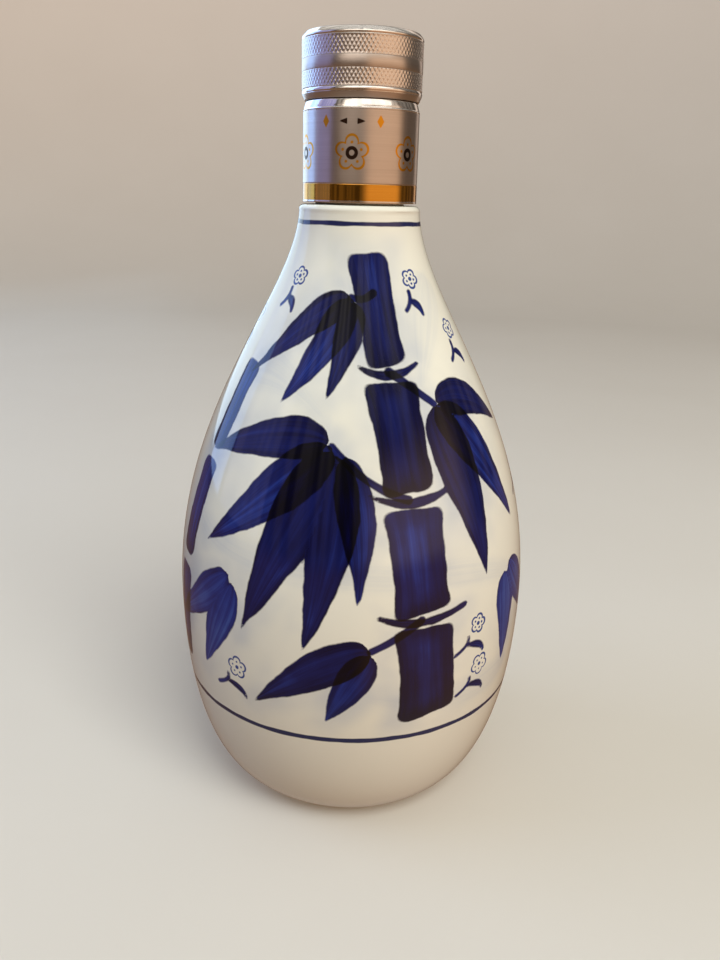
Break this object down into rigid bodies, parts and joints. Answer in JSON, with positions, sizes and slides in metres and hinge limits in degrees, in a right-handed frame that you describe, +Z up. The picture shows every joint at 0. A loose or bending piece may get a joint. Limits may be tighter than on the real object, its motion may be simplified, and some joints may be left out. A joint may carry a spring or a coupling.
{
  "type": "spirit bottle",
  "caption": "Teardrop glazed porcelain spirit bottle with cobalt brush painting, closed by a knurled aluminium screw cap and sleeve over a one-way ball-valve pourer.",
  "frame": {"origin": "middle of the foot ring, on the table", "axes": "+Z up along the bottle's axis; -Y faces the viewer of the painted front; +X to that viewer's right"},
  "size_m": [0.0952, 0.0952, 0.1956],
  "materials": {
    "porcelain": "clear glaze over white porcelain with cobalt painting",
    "gasket": "soft matt",
    "pourer": "moulded, slightly translucent",
    "valve": "moulded",
    "ball": "polished",
    "collar": "moulded",
    "snap_ring": "moulded",
    "sleeve": "satin lacquer with a mirror gold foot band",
    "liner": "foam",
    "inner_cap": "moulded",
    "cap": "satin lacquer, diamond knurl and bright-cut beads"
  },
  "bodies": {
    "bottle": {"porcelain_body": "porcelain", "mouth_gasket": "gasket", "pourer_body": "pourer", "ball_guard": "pourer", "lock_collar": "collar", "snap_ring": "snap_ring", "sleeve_shell": "sleeve", "tamper_band": "inner_cap"},
    "valve": {"valve_disc": "valve"},
    "ball": {"glass_ball": "ball"},
    "liner": {"cap_liner": "liner"},
    "cap": {"inner_cap": "inner_cap", "cap_shell": "cap"}
  },
  "joints": [
    {"name": "valve_lift", "type": "slide", "parent": "bottle", "child": "valve", "axis": [0, 0, 1], "range_m": [0, 0.003]},
    {"name": "ball_lift", "type": "slide", "parent": "valve", "child": "ball", "axis": [0, 0, 1], "range_m": [0, 0.003]},
    {"name": "cap_lift", "type": "slide", "parent": "bottle", "child": "liner", "axis": [0, 0, 1], "range_m": [0, 0.0046]},
    {"name": "cap_turn", "type": "hinge", "parent": "liner", "child": "cap", "pos_m": [0, 0, 0.19], "axis": [0, 0, 1], "range_deg": [0, 540]}
  ],
  "couplings": [
    {"joint": "cap_lift", "follows": "cap_turn", "m_per_rad": 0.00047746}
  ]
}
